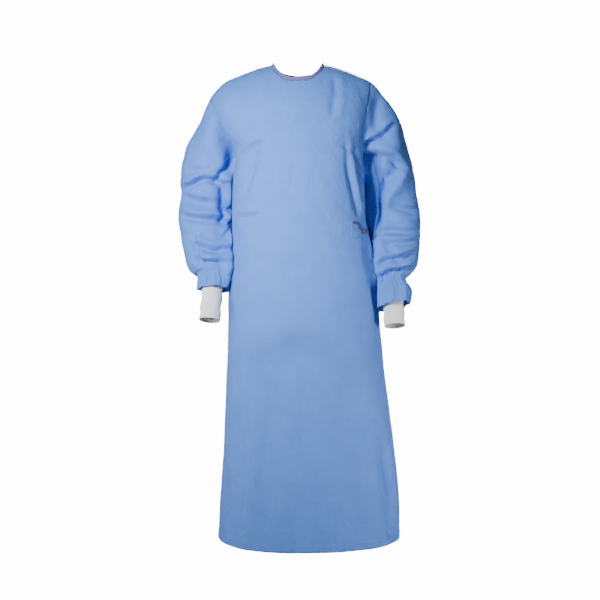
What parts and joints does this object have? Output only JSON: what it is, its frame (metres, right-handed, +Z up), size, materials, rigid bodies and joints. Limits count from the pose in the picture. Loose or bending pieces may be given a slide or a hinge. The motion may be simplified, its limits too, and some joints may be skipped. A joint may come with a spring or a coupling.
{
  "type": "surgical gown",
  "caption": "Hollow wrap-around surgical gown in worn form: long full sleeves gathered over knit cuffs, bound round neck, lapped open back and a tape tie at the side of the waist.",
  "frame": {"origin": "midway between the two shoulder points, where the gown is carried when it is worn", "axes": "+Z up towards the neck, the front faces -Y, +X towards the wearer's left"},
  "size_m": [0.6334, 0.3812, 1.2322],
  "materials": {
    "gown_cloth": "light blue, soft, matt, closely woven cloth",
    "cuff_knit": "white ribbed knit",
    "binding_tape": "mauve woven tape, matt"
  },
  "bodies": {
    "root": {"front": "gown_cloth", "back_left": "gown_cloth", "back_right": "gown_cloth", "sleeve_right": "gown_cloth", "sleeve_left": "gown_cloth", "cuff_right": "cuff_knit", "cuff_left": "cuff_knit", "neck_binding": "binding_tape", "tie_patch": "gown_cloth", "tie_short": "binding_tape", "belt": "binding_tape", "belt_knot": "binding_tape"}
  },
  "joints": []
}
